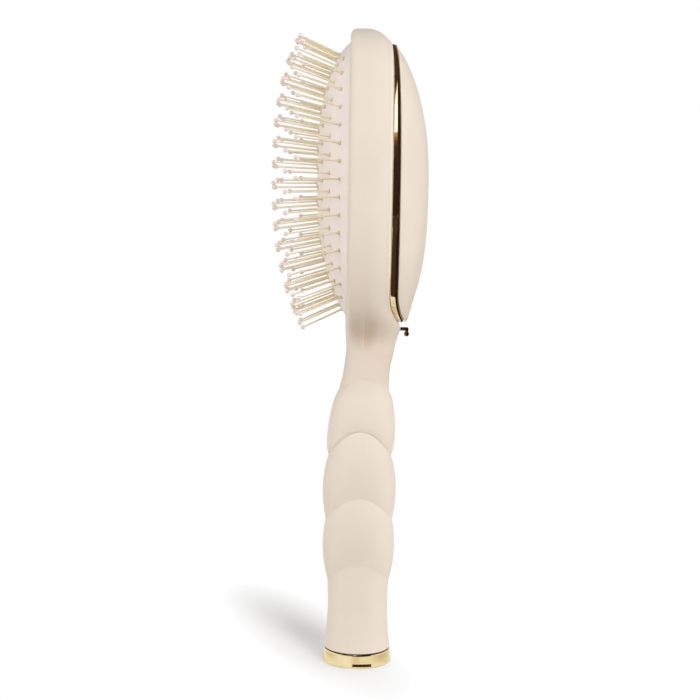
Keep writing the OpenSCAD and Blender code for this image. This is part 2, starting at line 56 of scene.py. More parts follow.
# Opening for the cushion, thickness of its rim, and the pocket behind the rim
OPENING_L, OPENING_W = 101.6, 57.0
RIM_T = 2.4
POCKET_OVER = 4.0
POCKET_BACK_X = 1.0
# Power of every oval outline: 2 is an ellipse, more is squarer
POWER = 2.4

CUSHION_RISE, CUSHION_STROKE = 11.4, 3.0
# Gap to the rim at the dome's edge and at its foot, and the X where the foot starts and ends
CUSHION_GAP, CUSHION_FOOT_GAP = 0.3, 0.05
CUSHION_FOOT_X = (-6.0, -3.9)

PIN_L, BALL_D = 17.2, 1.7
# Depth of a shaft's root in the rubber
ROOT_DEPTH = 1.4
SHAFT_ROOT_R, SHAFT_TIP_R = 0.35, 0.26
COLLAR_R, COLLAR_T = 0.8, 0.35
FIELD_L, FIELD_W = 94.4, 48.8
# Rows on each side of the middle row, pins of the even and odd rows, and each row's shift along Z
ROWS = 4
LONG_ROW, SHORT_ROW = 15, 14
ROW_SHIFT = (-1.1, 0.9, -0.1, -0.6, 0.6)
# The outermost rows are shorter at each end and wider spaced in the middle; margin round the field
ROW_SHORTER, ROW_WIDER, FIELD_MARGIN = 4, 0.045, 1.04
# Radii of the fan that the pins spread in, across and along the head
FAN_W, FAN_L = 82.0, 110.4

COVER_L, COVER_W = 103.0, 58.0
COVER_Z = HEAD_Z - 1.1
COVER_RISE, COVER_T = 11.25, 1.6
BAND_H, BAND_W = 2.9, 2.0
# The band's seat rises towards the lower tip, over a reach, and drops a little towards the top
TIP_RISE, TIP_REACH, TOP_DROP = 3.4, 12.0, 0.5
# Share of the band's depth and distance outwards of its section's corners
BAND_SECTION = (
    (0, -BAND_W), (0, -0.1), (0.03, -0.03), (0.08, 0.02), (0.15, 0.05), (0.28, 0.088), (0.42, 0.122),
    (0.54, 0.147), (0.6, 0.152), (0.68, 0.14), (0.77, 0.08), (0.85, -0.01), (0.93, -0.12),
    (0.985, -0.24), (1, -0.36), (1, -BAND_W))
# The tip's outer edge leans inwards from this share of the depth, by this many times the share
TIP_SLANT_FROM, TIP_SLANT = 0.66, 3

# Seams between the swells of the grip: height, radius and arch, then each swell's bulge
SEAM_Z = (31.7, 55.5, 80.6, 104.6)
SEAM_R = (11.70, 12.68, 11.82, 9.53)
SEAM_ARCH = (8.1, 9.8, 9.94, 5.32)
BULGE_R = (1.50, 1.69, 1.946)
BULGE_POWER = (1.0, 1.0, 0.6)
# Height, front, back and side radius and arch, of the stem below the swells and of the neck
STEM = np.array([
    (5.7, 12.45, 12.45, 12.45, 0.0), (12.0, 11.92, 11.92, 11.92, 1.5),
    (19.2, 11.45, 11.45, 11.45, 3.6), (26.4, 11.48, 11.48, 11.48, 6.2),
    (31.7, 11.70, 11.70, 11.70, 8.1)])
NECK = np.array([
    (104.6, 8.34, 10.72, 9.53, 5.32), (109.9, 7.50, 10.60, 9.50, 3.80),
    (115.0, 6.80, 11.20, 9.40, 2.40), (120.0, 6.25, 12.25, 9.50, 1.26),
    (125.0, 6.15, 13.00, 10.0, 0.45), (129.0, 6.10, 13.40, 11.2, 0.0),
    (134.0, 6.00, 13.00, 13.0, 0.0), (140.0, 5.80, 10.20, 15.0, 0.0),
    (146.0, 5.50, 8.00, 16.0, 0.0)])
# Neck and head run together: from this height, within this one, with this softness
BLEND_FROM, BLEND_H, BLEND_K = 106.0, 5.0, 8.0
# Heights in which the neck ends and the rings turn to the head's section, and of the crown
NECK_END_H, TURN_H, CROWN_H = 6.0, 14.0, 14.0
# Front and back depth of the section that the rings of the head start from
CORE_FRONT, CORE_BACK = 7.5, 11.5
# Rounding of the front edge and of the band's seat
FRONT_EDGE_R, SEAT_EDGE_R = 1.6, 0.35
HALF_STEPS = 72
# Steps and reach of the search for the skin, and how far the neck's form is pushed out above its end
BISECTIONS, REACH, PUSH = 44, 70.0, 60

# Radius and height of the foot ring's section, from its recess round the outside
RING_PROFILE = (
    (11.0, 0), (12.8, 0), (13.05, 0.06), (13.22, 0.2), (13.3, 0.5), (13.28, 0.75), (13.18, 1.1),
    (13.07, 1.5), (13.01, 1.8), (12.96, 2.2), (12.88, 3.0), (12.8, 3.9), (12.74, 4.6), (12.72, 4.9),
    (12.65, 5.15), (12.5, 5.36), (12.2, 5.46), (11.8, 5.5), (9.2, 5.5), (9.2, 3.2), (11.0, 3.2))

HOOK_Z, HOOK_X, HOOK_DROP = 128.55, 17.0, 1.85
WIRE_R, HOOK_BALL_R = 0.68, 0.98
# Where the wire starts in the neck, radius of its mitred corner, and the straight wire beside that
HOOK_ROOT_X, HOOK_BEND, HOOK_REST = 9.0, 0.3, 0.15

# Camera at the photograph's viewing angle: degrees, millimetres, pixels and sensor width
CAMERA_PITCH, CAMERA_ROLL = 6.0593, 0.87
CAMERA_AT = (-4.329, -604.6, 184.4)
FOCAL_PX, PHOTO_PX, SENSOR = 1604.5, 700, 36


def srgb(red, green, blue):
    """Linear colour of an 8-bit sRGB colour."""
    shares = [v / 255 for v in (red, green, blue)]
    return tuple(v / 12.92 if v <= 0.04045 else ((v + 0.055) / 1.055) ** 2.4 for v in shares)


# ---- camera ----
def make_camera():
    pitch, roll = math.radians(CAMERA_PITCH), math.radians(CAMERA_ROLL)
    forward = Vector((0, math.cos(pitch), -math.sin(pitch)))
    up = Vector((0, math.sin(pitch), math.cos(pitch)))
    right = Vector((1, 0, 0))
    cam_right = math.cos(roll) * right + math.sin(roll) * up
    cam_up = -math.sin(roll) * right + math.cos(roll) * up
    data = bpy.data.cameras.new("camera")
    data.sensor_width = SENSOR
    data.lens = FOCAL_PX / PHOTO_PX * SENSOR
    data.clip_start, data.clip_end = 0.01, 20
    camera = bpy.data.objects.new("camera", data)
    turn = Matrix((cam_right, cam_up, -forward)).transposed().to_4x4()
    camera.matrix_world = Matrix.Translation(Vector(CAMERA_AT) * MM) @ turn
    bpy.context.scene.collection.objects.link(camera)
    bpy.context.scene.camera = camera


make_camera()


# ---- shape functions, in millimetres ----
def around(steps):
    """Evenly spaced angles of a full turn."""
    return np.arange(steps) * 2 * math.pi / steps


def sign_power(v, p):
    return np.sign(v) * np.abs(v) ** p


def outline(t, half_l, half_w):
    """Y and Z of the oval outline; t runs from the top towards +Y."""
    p = 2 / POWER
    return half_w * sign_power(np.sin(t), p), half_l * sign_power(np.cos(t), p)


def outline_share(y, z, half_l, half_w):
    """0 at the centre of an outline and 1 on it."""
    return (np.abs(y / half_w) ** POWER + np.abs(z / half_l) ** POWER) ** (1 / POWER)


def outline_distance(y, z, half_l, half_w):
    """Rough signed distance to the outline, negative inside."""
    s = np.maximum(outline_share(y, z, half_l, half_w), 1e-4)
    gy = s ** (1 - POWER) * np.abs(y / half_w) ** (POWER - 1) / half_w
    gz = s ** (1 - POWER) * np.abs(z / half_l) ** (POWER - 1) / half_l
    return (s - 1) / np.maximum(np.hypot(gy, gz), 1e-4)


def end_share(z, half_l, s):
    """-1 towards the lower end of an outline, 0 at its sides and 1 towards its top."""
    return sign_power(z / half_l / np.maximum(s, 1e-6), POWER / 2)


def lerp(a, b, u):
    return a + (b - a) * u


def smooth_table(table, z):
    """Smooth curve through the rows of a table whose first column is the height."""
    x, rows = table[:, 0], table[:, 1:]
    slopes = np.gradient(rows, x, axis=0)
    z = np.clip(np.asarray(z, float), x[0], x[-1])
    i = np.clip(np.searchsorted(x, z, side="right") - 1, 0, len(x) - 2)
    h = (x[i + 1] - x[i])[:, None]
    u = (z - x[i])[:, None] / h
    return ((2 * u ** 3 - 3 * u ** 2 + 1) * rows[i] + (u ** 3 - 2 * u ** 2 + u) * h * slopes[i]
            + (3 * u ** 2 - 2 * u ** 3) * rows[i + 1] + (u ** 3 - u ** 2) * h * slopes[i + 1])


def tip_share(z):
    """1 at the lower tip of the cover, running out over the tip's reach."""
    return np.maximum(0, 1 - (z - COVER_Z + COVER_L / 2) / TIP_REACH) ** 2


def top_share(z):
    """1 at the top of the cover, running out fast below it."""
    return np.maximum(0, (z - COVER_Z) / (COVER_L / 2)) ** 6


def seat_x(z):
    """X of the face that the band sits on."""
    return BACK_DEPTH + TIP_RISE * tip_share(z) - TOP_DROP * top_share(z)


def band_x(z):
    """X of the band's back; the band gets thinner towards the top."""
    up = np.clip((z - COVER_Z) / (COVER_L / 2), 0, 1)
    return seat_x(z) + BAND_H * (1 - 0.38 * up ** 2 - 0.22 * up ** 20 - 0.08 * tip_share(z))


def cover_x(y, z):
    """X of the cover at a place measured from the cover's centre."""
    s = outline_share(y, z, COVER_L / 2, COVER_W / 2)
    lower = np.maximum(0, -end_share(z, COVER_L / 2, s))
    upper = np.maximum(0, end_share(z, COVER_L / 2, s))
    base = lerp(BACK_DEPTH + BAND_H, band_x(COVER_Z + z), s ** 4)
    fall = np.maximum(0, 1 - s ** (2.4 + 0.2 * lower - 0.13 * upper))
    return base + COVER_RISE * fall ** (0.85 - 0.25 * lower + 0.15 * upper)


def cushion_x(y, z):
    """X of the cushion at a place measured from the head's centre."""
    half_l = OPENING_L / 2 - CUSHION_GAP
    s = outline_share(y, z, half_l, OPENING_W / 2 - CUSHION_GAP)
    c = end_share(z, half_l, s)
    up, down = np.maximum(0, c) ** 2, np.maximum(0, -c) ** 2
    p = 2 + up + 0.4 * down
    q = 1 - 0.2 * (up + down / 2)
    return -FRONT_DEPTH - CUSHION_RISE * np.maximum(0, 1 - s ** p) ** q


def round_max(a, b, r):
    """The larger of two distances, with the corner between them rounded."""
    return np.minimum(-r, np.maximum(a, b)) + np.hypot(np.maximum(a + r, 0), np.maximum(b + r, 0))


def soft_min(a, b, k):
    h = np.maximum(k - np.abs(a - b), 0) / k
    return np.minimum(a, b) - h * h * k / 4


def head_distance(x, y, z):
    d = outline_distance(y, z - HEAD_Z, HEAD_L / 2, HEAD_W / 2)
    front = round_max(d, -x - FRONT_DEPTH, FRONT_ROUND)
    slope = (d + x - (seat_x(z) - CHAMFER_EDGE)) / math.sqrt(2)
    return round_max(front, slope, CHAMFER_ROUND)


# ---- mesh helpers ----
def quads(rows, columns, closed):
    """Faces between neighbouring rows of points."""
    last = columns if closed else columns - 1
    return [(i * columns + j, i * columns + (j + 1) % columns,
             (i + 1) * columns + (j + 1) % columns, (i + 1) * columns + j)
            for i in range(rows - 1) for j in range(last)]


def new_object(name, points, faces):
    mesh = bpy.data.meshes.new(name)
    mesh.from_pydata([tuple(p) for p in np.asarray(points, float) * MM], [], faces)
    mesh.validate()
    made = bpy.data.objects.new(name, mesh)
    bpy.context.scene.collection.objects.link(made)
    return made


def tidy_normals(made, angle):
    """Faces point outwards, and only edges sharper than the angle stay sharp."""
    bpy.context.view_layer.objects.active = made
    bpy.ops.object.select_all(action="DESELECT")
    made.select_set(True)
    bpy.ops.object.mode_set(mode="EDIT")
    bpy.ops.mesh.select_all(action="SELECT")
    bpy.ops.mesh.normals_make_consistent(inside=False)
    bpy.ops.object.mode_set(mode="OBJECT")
    made.data.shade_smooth()
    made.data.set_sharp_from_angle(angle=math.radians(angle))


def dress(made, body, slot, material, *nodes):
    """A piece gets its material, the body that it rides on and the nodes that it stands for."""
    made.data.materials.clear()
    made.data.materials.append(material)
    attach(made, body)
    if nodes:
        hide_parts(*nodes)


def ring_stack(rings):
    """Points and faces of a stack of closed rings of equal length, with its ends closed."""
    n, m = len(rings), len(rings[0])
    faces = quads(n, m, True) + [tuple(range(m)), tuple(range((n - 1) * m, n * m))]
    return np.concatenate(rings), faces


def ring_loop(rings):
    """Points and faces of closed rings whose last ring joins the first."""
    n, m = len(rings), len(rings[0])
    last = (n - 1) * m
    faces = quads(n, m, True)
    faces += [(j, (j + 1) % m, last + (j + 1) % m, last + j) for j in range(m)]
    return np.concatenate(rings), faces


def outline_ring(x, half_l, half_w, steps):
    """Ring of points on the head's outline of a size, at one X."""
    y, z = outline(around(steps), half_l, half_w)
    return np.stack([np.full(steps, float(x)), y, HEAD_Z + z], axis=1)


def carve(made, tools):
    """Cuts closed tool shapes out of a piece and removes them."""
    for tool in tools:
        cut = made.modifiers.new("cut", "BOOLEAN")
        cut.operation = "DIFFERENCE"
        cut.solver = "EXACT"
        cut.object = tool
        graph = bpy.context.evaluated_depsgraph_get()
        mesh = bpy.data.meshes.new_from_object(made.evaluated_get(graph))
        made.modifiers.clear()
        made.data = mesh
        bpy.data.objects.remove(tool)


# ---- materials; lengths in metres, as the shader sees them ----
def new_material(name):
    material = bpy.data.materials.new(name)
    material.use_nodes = True
    tree = material.node_tree
    shader = tree.nodes["Principled BSDF"]
    return material, tree, shader


def coordinates(tree, scale=(1, 1, 1)):
    place = tree.nodes.new("ShaderNodeTexCoord")
    mapping = tree.nodes.new("ShaderNodeMapping")
    mapping.inputs["Scale"].default_value = scale
    tree.links.new(place.outputs["Object"], mapping.inputs["Vector"])
    return mapping.outputs["Vector"]


def split_axes(tree, vector):
    """The X, Y and Z of a vector, as sockets by name."""
    node = tree.nodes.new("ShaderNodeSeparateXYZ")
    tree.links.new(vector, node.inputs["Vector"])
    return node.outputs


def noise(tree, vector, scale, detail):
    node = tree.nodes.new("ShaderNodeTexNoise")
    node.inputs["Scale"].default_value = scale
    node.inputs["Detail"].default_value = detail
    node.inputs["Roughness"].default_value = 0.5
    tree.links.new(vector, node.inputs["Vector"])
    return node.outputs["Fac"]


def spread(tree, value, low, high, out_low=0, out_high=1):
    """The range from low to high spread over another one, and clamped to it."""
    node = tree.nodes.new("ShaderNodeMapRange")
    marks = {"From Min": low, "From Max": high, "To Min": out_low, "To Max": out_high}
    for socket, mark in marks.items():
        node.inputs[socket].default_value = mark
    tree.links.new(value, node.inputs["Value"])
    return node.outputs["Result"]


def mix_colour(tree, share, a, b):
    node = tree.nodes.new("ShaderNodeMix")
    node.data_type = "RGBA"
    tree.links.new(share, node.inputs["Factor"])
    for socket, value in ((node.inputs["A"], a), (node.inputs["B"], b)):
        if isinstance(value, tuple):
            socket.default_value = (*value, 1)
        else:
            tree.links.new(value, socket)
    return node.outputs["Result"]


def math_node(tree, operation, a, b):
    node = tree.nodes.new("ShaderNodeMath")
    node.operation = operation
    for socket, value in zip(node.inputs, (a, b)):
        if isinstance(value, (int, float)):
            socket.default_value = value
        else:
            tree.links.new(value, socket)
    return node.outputs["Value"]


def ramps(tree, axes, marks):
    """Product of ramps, each from 0 to 1 between two places on an axis."""
    product = 1.0
    for axis, low, high in marks:
        product = math_node(tree, "MULTIPLY", product, spread(tree, axes[axis], low, high))
    return product


def from_centre(tree, vector, low, high, kind, **settings):
    """0 within and 1 beyond two distances from the origin of moved and scaled coordinates."""
    place = tree.nodes.new("ShaderNodeMapping")
    place.vector_type = kind
    for socket, value in settings.items():
        place.inputs[socket].default_value = value
    tree.links.new(vector, place.inputs["Vector"])
    length = tree.nodes.new("ShaderNodeVectorMath")
    length.operation = "LENGTH"
    tree.links.new(place.outputs["Vector"], length.inputs[0])
    return spread(tree, length.outputs["Value"], low, high)


def bump(tree, shader, height, strength, distance):
    node = tree.nodes.new("ShaderNodeBump")
    node.inputs["Strength"].default_value = strength
    node.inputs["Distance"].default_value = distance
    tree.links.new(height, node.inputs["Height"])
    tree.links.new(node.outputs["Normal"], shader.inputs["Normal"])


# The deep cream is painted shade in concave creases
CREAM, PALE_CREAM, CREASE_SHADE_CREAM = srgb(234, 223, 209), srgb(237, 227, 214), srgb(220, 204, 185)
# The palest cream is a painted highlight on edges, and the brown is painted warm shade
HIGHLIGHT_CREAM, SEAM_CREAM, PAINTED_WARM_SHADE = srgb(252, 246, 236), srgb(244, 232, 216), srgb(178, 122, 84)
CREAM_ROUGHNESS = 0.58
# Where the painted warm shade of the hollow between neck and head runs out, and the faint painted shade lower
# on the neck
HOLLOW = (("Z", 0.119, 0.1245), ("Z", 0.142, 0.131), ("X", -0.0055, -0.0015), ("X", 0.0065, 0.0025))
PAINTED_NECK_SHADE, PAINTED_NECK_SHADE_SHARE = (("Z", 0.128, 0.119), ("Z", 0.103, 0.109)), 0.11
# X of the parting line, half its width inside and outside, and the heights that it shows between
PARTING_X, PARTING_WIDTH, PARTING_SHARE = 0.0005, (0.0003, 0.0001), 0.45
PARTING = (("Z", 0.1215, 0.1235), ("Z", 0.141, 0.134))
# Painted highlight on the lip beside the band: heights over which the tip rises, how far, its X and its low
# end
LIP_Z, LIP_RISE, LIP_X, LIP_LOW = (0.1434, 0.1314), 0.0034, (0.0091, 0.0094), (0.1305, 0.132)


def painted_hollow_shade(tree, axes):
    """Share of painted warm shade in the hollow under the head and, fainter, lower on the neck."""
    hollow = tree.nodes.new("ShaderNodeAmbientOcclusion")
    hollow.samples = 16
    hollow.only_local = True
    hollow.inputs["Distance"].default_value = 0.03
    deep = spread(tree, hollow.outputs["AO"], 0.985, 0.875)
    shade = math_node(tree, "MULTIPLY", deep, ramps(tree, axes, HOLLOW))
    neck = math_node(tree, "MULTIPLY", ramps(tree, axes, PAINTED_NECK_SHADE), PAINTED_NECK_SHADE_SHARE)
    return math_node(tree, "MAXIMUM", shade, neck)


def parting_line(tree, axes):
    """1 on the parting line on the sides of the neck, else 0."""
    off = math_node(tree, "SUBTRACT", axes["X"], PARTING_X)
    line = spread(tree, math_node(tree, "ABSOLUTE", off, 0), *PARTING_WIDTH)
    return math_node(tree, "MULTIPLY", line, ramps(tree, axes, PARTING))


def lip_highlight(tree, axes):
    """1 on the painted highlight along the lip beside the band, whose X follows the rise of the band's tip.
    """
    rise = math_node(tree, "POWER", spread(tree, axes["Z"], *LIP_Z), 2)
    lip = math_node(tree, "SUBTRACT", axes["X"], math_node(tree, "MULTIPLY", rise, LIP_RISE))
    return math_node(tree, "MULTIPLY", spread(tree, lip, *LIP_X), spread(tree, axes["Z"], *LIP_LOW))


def soft_touch(name, shell):
    """Matt moulded plastic with a fine grain, faint mottling and painted shade in concave creases.

    The shell has a parting line, a painted highlight on the lip beside the band and painted warm
    shade in the hollow under the head and on the neck; the cover has painted highlights on its convex edges.
    """
    material, tree, shader = new_material(name)
    vector = coordinates(tree)
    mottle = spread(tree, noise(tree, vector, 55, 4), 0.3, 0.7)
    base = mix_colour(tree, mottle, CREAM, PALE_CREAM)
    edges = tree.nodes.new("ShaderNodeNewGeometry").outputs["Pointiness"]
    # Concave creases are darkened a little: painted shade
    base = mix_colour(tree, spread(tree, edges, 0.495, 0.44, 0, 0.15), base, CREASE_SHADE_CREAM)
    grain = noise(tree, vector, 2600, 2)
    if shell:
        axes = split_axes(tree, vector)
        # Painted warm shade in the hollow under the head and lower on the neck
        base = mix_colour(tree, painted_hollow_shade(tree, axes), base, PAINTED_WARM_SHADE)
        line = parting_line(tree, axes)
        base = mix_colour(tree, math_node(tree, "MULTIPLY", line, PARTING_SHARE), base, SEAM_CREAM)
        # Painted highlight along the lip beside the band
        base = mix_colour(tree, lip_highlight(tree, axes), base, HIGHLIGHT_CREAM)
        grain = math_node(tree, "ADD", grain, math_node(tree, "MULTIPLY", line, 1.5))
    else:
        # Convex edges of the cover get a painted highlight
        base = mix_colour(tree, spread(tree, edges, 0.53, 0.6), base, HIGHLIGHT_CREAM)
    tree.links.new(base, shader.inputs["Base Color"])
    rough = spread(tree, noise(tree, vector, 30, 3), 0.3, 0.7, CREAM_ROUGHNESS - 0.05, CREAM_ROUGHNESS + 0.05)
    tree.links.new(rough, shader.inputs["Roughness"])
    bump(tree, shader, grain, 0.25, 0.00003)
    shader.inputs["Specular IOR Level"].default_value = 0.4
    shader.inputs["Sheen Weight"].default_value = 0.12
    shader.inputs["Sheen Roughness"].default_value = 0.5
    return material


def gold(name, colour, deep, roughness):
    """Plated metal: a mirror with faint clouding and hairline scratches."""
    material, tree, shader = new_material(name)
    vector = coordinates(tree)
    cloud = spread(tree, noise(tree, vector, 90, 3), 0.35, 0.65)
    tree.links.new(mix_colour(tree, cloud, colour, deep), shader.inputs["Base Color"])
    hair = noise(tree, coordinates(tree, (1, 1, 0.04)), 3500, 2)
    rough = spread(tree, hair, 0.35, 0.75, roughness, roughness + 0.06)
    tree.links.new(rough, shader.inputs["Roughness"])
    bump(tree, shader, noise(tree, vector, 420, 2), 0.06, 0.00002)
    shader.inputs["Metallic"].default_value = 1
    return material


# X where the pins' shafts start and end getting paler
PALER_X = (-0.016, -0.032)


def plain_plastic(name, colour, other, roughness, scale=120, tip=None):
    """Moulded plastic or rubber with faint clouding and a fine grain; pins get paler at the tip."""
    material, tree, shader = new_material(name)
    vector = coordinates(tree)
    cloud = spread(tree, noise(tree, vector, scale, 3), 0.3, 0.7)
    base = mix_colour(tree, cloud, colour, other)
    if tip:
        base = mix_colour(tree, spread(tree, split_axes(tree, vector)["X"], *PALER_X), base, tip)
    tree.links.new(base, shader.inputs["Base Color"])
    rough = spread(tree, noise(tree, vector, scale / 2, 2), 0.3, 0.7, roughness - 0.04, roughness + 0.05)
    tree.links.new(rough, shader.inputs["Roughness"])
    bump(tree, shader, noise(tree, vector, 1900, 2), 0.2, 0.00002)
    return material


shell_material = soft_touch("soft_touch_cream", shell=True)
cover_material = soft_touch("soft_touch_cover", shell=False)
rubber_material = plain_plastic("cushion_rubber", srgb(252, 244, 240), srgb(249, 240, 236), 0.5)
shaft_material = plain_plastic("pin_shaft", srgb(238, 224, 192), srgb(230, 214, 178), 0.35, 300,
                               tip=srgb(252, 245, 228))
ball_material = plain_plastic("pin_ball", srgb(249, 235, 229), srgb(244, 227, 221), 0.3, 300)
band_material = gold("band_plating", srgb(240, 221, 178), srgb(230, 206, 158), 0.02)
ring_material = gold("ring_plating", srgb(241, 225, 181), srgb(232, 213, 163), 0.06)
# The hook's gold is darkened to stand for its dark reflections: painted reflection
darkened_hook_material = gold("hook_plating_darkened", srgb(168, 128, 82), srgb(140, 100, 58), 0.08)
inner_material = plain_plastic("inner_plastic", srgb(219, 219, 217), srgb(211, 211, 208), 0.5)
steel_material = gold("plain_steel", srgb(178, 178, 180), srgb(160, 160, 163), 0.28)
felt_material = plain_plastic("foot_felt", srgb(70, 67, 64), srgb(58, 55, 53), 0.85)


# ---- body: grip, neck and head as one flowing form, in two halves ----
def ring_table():
    """Height, front, back and side radius and arch of every ring below the head."""
    edge = np.array([0.0, 0.012, 0.03, 0.06, 0.1])
    along = np.concatenate([edge, np.linspace(0.15, 0.85, 19), 1 - edge[::-1]])
    z = np.linspace(STEM[0, 0], STEM[-1, 0], 24)[:-1]
    parts = [np.column_stack([z, smooth_table(STEM, z)])]
    for i in range(3):
        u = along[:-1]
        bulge = BULGE_R[i] * (4 * u * (1 - u)) ** BULGE_POWER[i]
        # The last swell runs out into the neck, which is deeper at the back
        front, back = NECK[0, 1:3] if i == 2 else (SEAM_R[i + 1], SEAM_R[i + 1])
        parts.append(np.column_stack([
            lerp(SEAM_Z[i], SEAM_Z[i + 1], u), lerp(SEAM_R[i], front, u) + bulge,
            lerp(SEAM_R[i], back, u) + bulge, lerp(SEAM_R[i], SEAM_R[i + 1], u) + bulge,
            lerp(SEAM_ARCH[i], SEAM_ARCH[i + 1], u)]))
    z = np.concatenate([SEAM_Z[3] + np.array([0, 0.3, 0.8]), np.linspace(105.9, NECK[-1, 0], 46)])
    parts.append(np.column_stack([z, smooth_table(NECK, z)]))
    return np.concatenate(parts)


def body_rings():
    """Rings of points from the foot to the top of the head; column 0 is at +Y, x = 0."""
    table = ring_table()
    steps = 2 * HALF_STEPS
    angle = around(steps) + math.pi / 2
    cos_t, sin_t = np.cos(angle), np.sin(angle)
    cos_t[np.abs(cos_t) < 1e-9] = 0
    z = table[:, :1] + table[:, 4:5] * sin_t ** 2
    x = np.where(cos_t > 0, table[:, 2:3], table[:, 1:2]) * cos_t
    y = table[:, 3:4] * sin_t
    # Above the neck the rings are level, and their directions follow the head's section
    start = NECK[-1, 0]
    rise = np.concatenate([
        np.linspace(start + 1, TOTAL_H - CROWN_H, 72),
        TOTAL_H - CROWN_H * (1 - np.sin(np.linspace(0, math.pi / 2, 28)[1:-1]))])
    half_w = HEAD_W / 2 * np.maximum(1 - np.abs((rise - HEAD_Z) / (HEAD_L / 2)) ** POWER, 0) ** (1 / POWER)
    mix = np.clip((rise - start) / TURN_H, 0, 1)[:, None]
    side = lerp(NECK[-1, 3], np.maximum(half_w, 0.5)[:, None], mix)
    shrink = np.clip(np.maximum(half_w, 0.3)[:, None] / CROWN_H, 0, 1)
    front = lerp(NECK[-1, 1], CORE_FRONT * shrink, mix)
    back = lerp(NECK[-1, 2], CORE_BACK * shrink, mix)
    x = np.concatenate([x, np.where(cos_t > 0, back, front) * cos_t])
    y = np.concatenate([y, side * sin_t])
    z = np.concatenate([z, np.repeat(rise[:, None], steps, axis=1)])
    neck_r = np.hypot(x, y)
    way_x, way_y = x / neck_r, y / neck_r
    centre_z = np.concatenate([table[:, 0], rise])[:, None]
    fade = np.clip((centre_z - start) / NECK_END_H, 0, 1)

    def distance(r):
        """Distance from the body's skin, along each ring's ways, at radius r."""
        px, py = r * way_x, r * way_y
        head = head_distance(px, py, z)
        neck = r - neck_r + PUSH * fade
        both = soft_min(neck, head, BLEND_K)
        front_x = np.interp(z, NECK[:, 0], np.maximum(NECK[:, 1], FRONT_DEPTH))
        both = round_max(both, -px - front_x, FRONT_EDGE_R)
        return round_max(both, px - seat_x(z), SEAT_EDGE_R)

    low, high = np.zeros_like(neck_r), np.full_like(neck_r, REACH)
    for _ in range(BISECTIONS):
        middle = (low + high) / 2
        inside = distance(middle) < 0
        low, high = np.where(inside, middle, low), np.where(inside, high, middle)
    # Below the blend the grip keeps its own radii
    found = np.clip((centre_z - BLEND_FROM) / BLEND_H, 0, 1)
    found = found * found * (3 - 2 * found)
    r = lerp(neck_r, (low + high) / 2, found)
    return np.stack([r * way_x, r * way_y, z], axis=2)


def body_half(name, rings, side):
    """The front (side -1) or back (side 1) half of the body, closed by its flat parting face."""
    if side < 0:
        points = rings[:, :HALF_STEPS + 1]
    else:
        points = np.concatenate([rings[:, HALF_STEPS:], rings[:, :1]], axis=1)
    n, m = points.shape[:2]
    faces = quads(n, m, False)
    faces += [(i * m, (i + 1) * m, (i + 1) * m + m - 1, i * m + m - 1) for i in range(n - 1)]
    faces += [tuple(range(m)), tuple(range((n - 1) * m, n * m))]
    return new_object(name, points.reshape(-1, 3), faces)


def prism(name, stack, steps=144):
    """Cutting tool as wide as the opening plus a margin at each X."""
    rings = [outline_ring(x, OPENING_L / 2 + over, OPENING_W / 2 + over, steps) for x, over in stack]
    tool = new_object(name, *ring_stack(rings))
    tidy_normals(tool, 30)
    return tool


rings = body_rings()
front_skin = body_half("front_shell_skin", rings, -1)
back_skin = body_half("back_shell_skin", rings, 1)
tidy_normals(front_skin, 40)
tidy_normals(back_skin, 40)
carve(front_skin, [
    prism("opening_tool", [(-9, 0.5), (-6.3, 0.5), (-6.14, 0.28), (-5.95, 0.1), (-5.7, 0), (0.6, 0)]),
    prism("pocket_tool", [(-FRONT_DEPTH + RIM_T, POCKET_OVER), (0.5, POCKET_OVER)])])
carve(back_skin, [prism("plate_tool", [(-0.5, POCKET_OVER), (POCKET_BACK_X, POCKET_OVER)])])
for skin in (front_skin, back_skin):
    tidy_normals(skin, 40)
dress(front_skin, "brush_body", "soft_shell", shell_material, "front_shell")
dress(back_skin, "brush_body", "soft_shell", shell_material, "back_shell")


# ---- back cover, a thin dome with a rounded edge ----
def cover_ring(s, inset, drop, steps=144):
    """Ring on the dome at a share of its outline, moved inwards and down."""
    y, z = outline(around(steps), COVER_L / 2, COVER_W / 2)
    x = cover_x(s * y, s * z) - drop
    shrink_y, shrink_z = 1 - inset / (COVER_W / 2), 1 - inset / (COVER_L / 2)
    return np.stack([x, s * y * shrink_y, COVER_Z + s * z * shrink_z], axis=1)


def make_cover():
    shares = np.concatenate([np.linspace(0.02, 0.9, 34), [0.92, 0.94, 0.955, 0.968, 0.978, 0.986]])
    rings = [cover_ring(s, 0, 0) for s in shares] + [cover_ring(0.993, 0, 0.12)]
    # The edge turns under, just above the band, and the dome's inside follows
    edge = [cover_ring(1, inset, 0) for inset in (0.0, 0.05, 0.3, COVER_T)]
    for ring, lift in zip(edge, (0.42, 0.16, 0.04, 0.04)):
        ring[:, 0] = band_x(ring[:, 2]) + lift
    rings += edge
    rings += [cover_ring(s, COVER_T, COVER_T) for s in np.linspace(0.95, 0.03, 20)]
    cover = new_object("back_cover_skin", *ring_stack(rings))
    tidy_normals(cover, 45)
    dress(cover, "brush_body", "soft_shell", cover_material, "back_cover")


make_cover()


# ---- gold band between the head and the cover ----
def make_band(steps=216):
    rings = []
    for depth, out in BAND_SECTION:
        y, z = outline(around(steps), COVER_L / 2 + out, COVER_W / 2 + out)
        place = COVER_Z + z
        lean = TIP_SLANT * max(0, depth - TIP_SLANT_FROM)
        slant = 1 - lean * tip_share(place) / (COVER_L / 2)
        x = lerp(seat_x(place) + 0.02, band_x(place), depth)
        rings.append(np.stack([x, y * slant, COVER_Z + z * slant], axis=1))
    band = new_object("trim_band_skin", *ring_loop(rings))
    tidy_normals(band, 50)
    dress(band, "brush_body", "gold_plate", band_material, "trim_band")


make_band()


